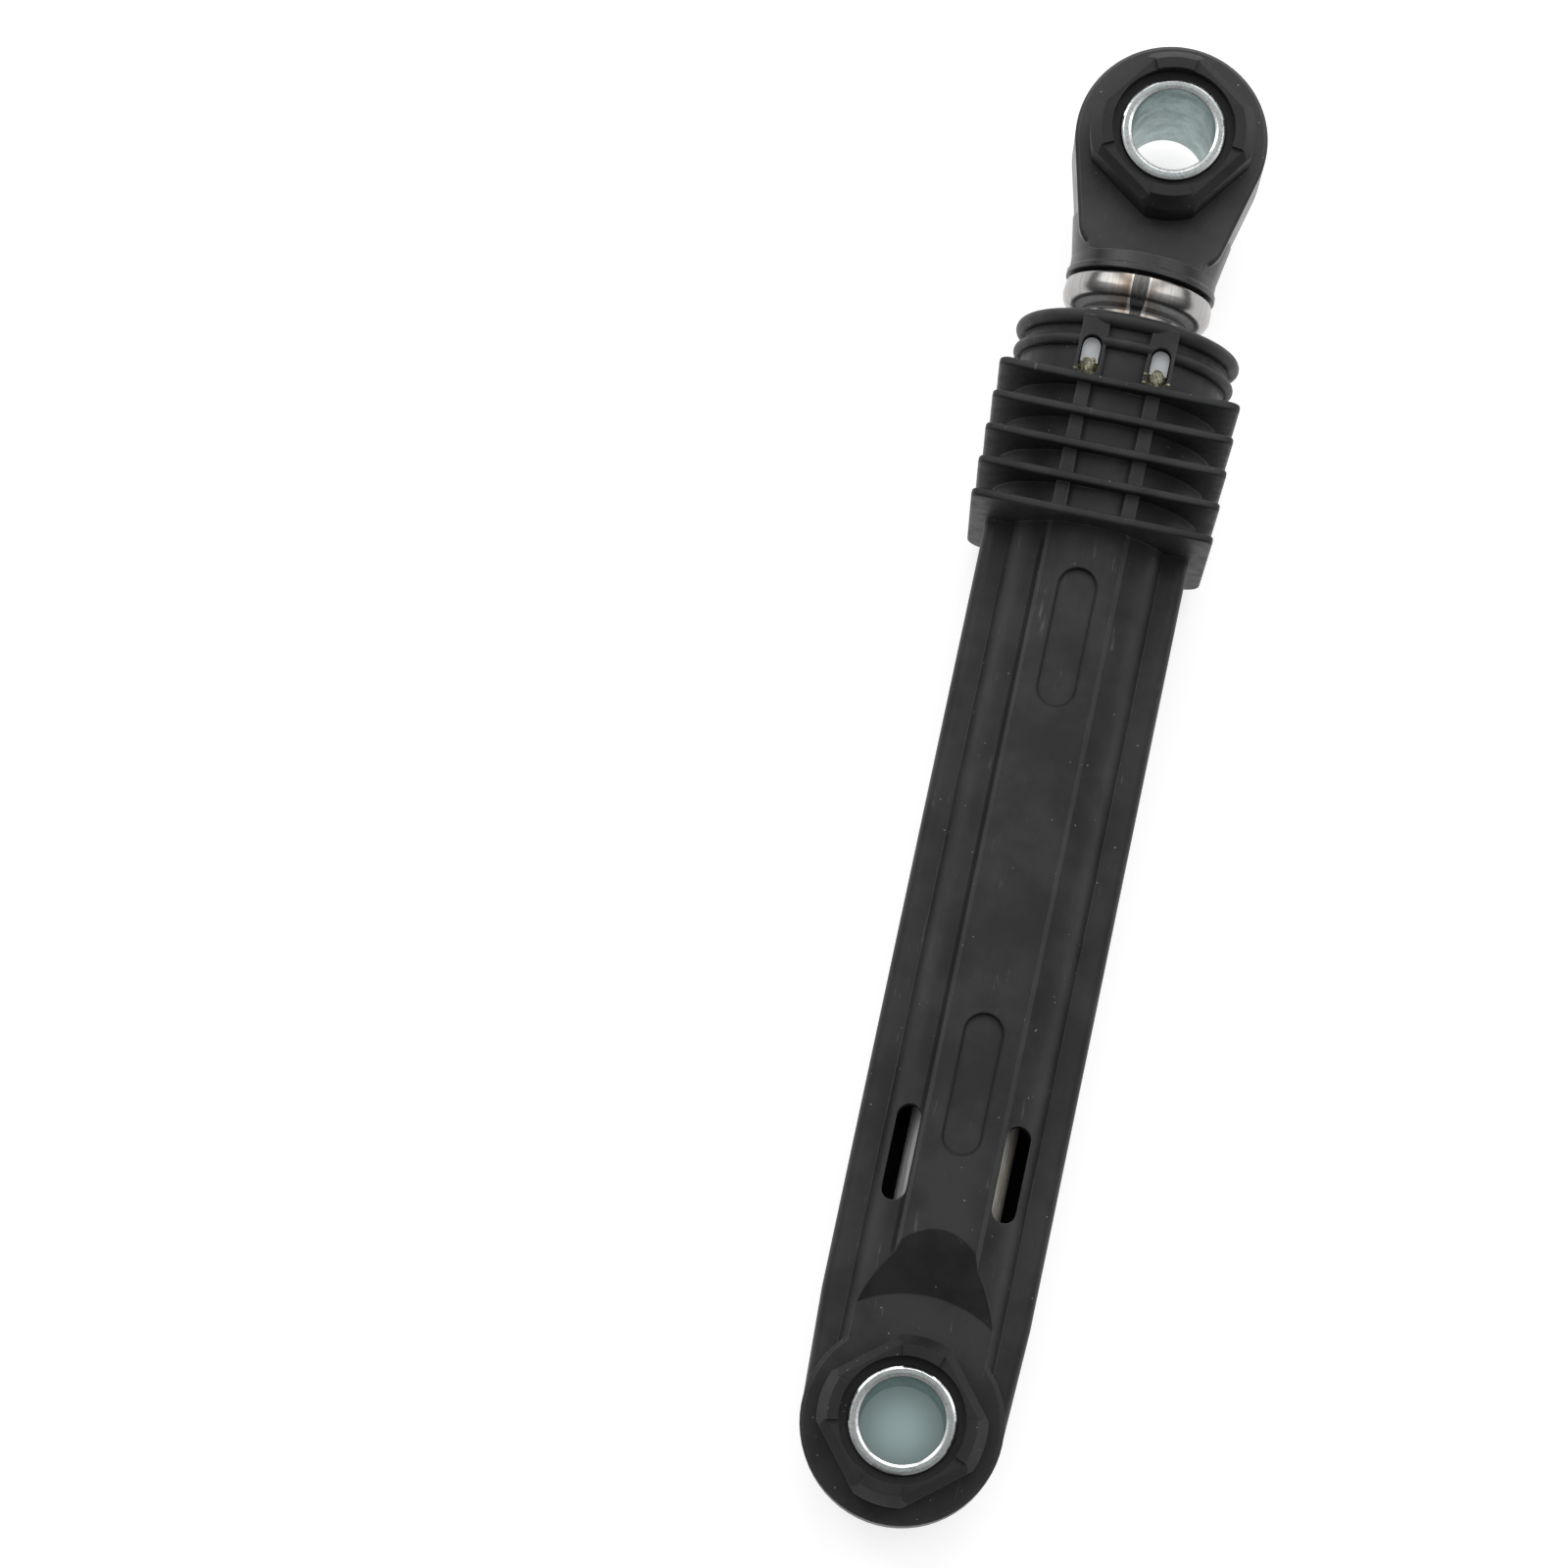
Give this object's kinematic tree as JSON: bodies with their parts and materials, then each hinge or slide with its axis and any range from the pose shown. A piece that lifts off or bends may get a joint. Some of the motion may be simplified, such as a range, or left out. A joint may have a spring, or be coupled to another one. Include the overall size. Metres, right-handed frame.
{
  "type": "washing machine shock absorber",
  "caption": "Friction damper with a finned, winged plastic housing, a sliding steel rod with a moulded eye, and a rubber bush with a steel sleeve at each end.",
  "frame": {"origin": "centre of the lower pin bore", "axes": "+Y along the rod towards the upper eye, +Z along the pin bores towards the side with the slots; the damper lies on its back"},
  "size_m": [0.034, 0.2132, 0.0336],
  "materials": {
    "black_plastic": "moulded, matte black",
    "eye_plastic": "moulded, matte black",
    "white_plastic": "natural white acetal",
    "greased_foam": "foam soaked with olive grease",
    "rod_steel": "bright drawn tube",
    "bush_rubber": "moulded, dull",
    "zinc_steel": "bright zinc plate"
  },
  "bodies": {
    "housing": {"housing": "black_plastic", "guide_insert": "white_plastic", "lower_rubber_bush": "bush_rubber", "lower_steel_sleeve": "zinc_steel"},
    "foam": {"friction_foam": "greased_foam"},
    "rod": {"rod_tube": "rod_steel", "rod_eye": "eye_plastic", "upper_rubber_bush": "bush_rubber", "upper_steel_sleeve": "zinc_steel"}
  },
  "joints": [
    {"name": "rod_turn", "type": "hinge", "parent": "housing", "child": "foam", "pos_m": [0, 0.1426, 0], "axis": [0, 1, 0], "continuous": true},
    {"name": "rod_slide", "type": "slide", "parent": "foam", "child": "rod", "axis": [0, 1, 0], "range_m": [0, 0.075]}
  ]
}
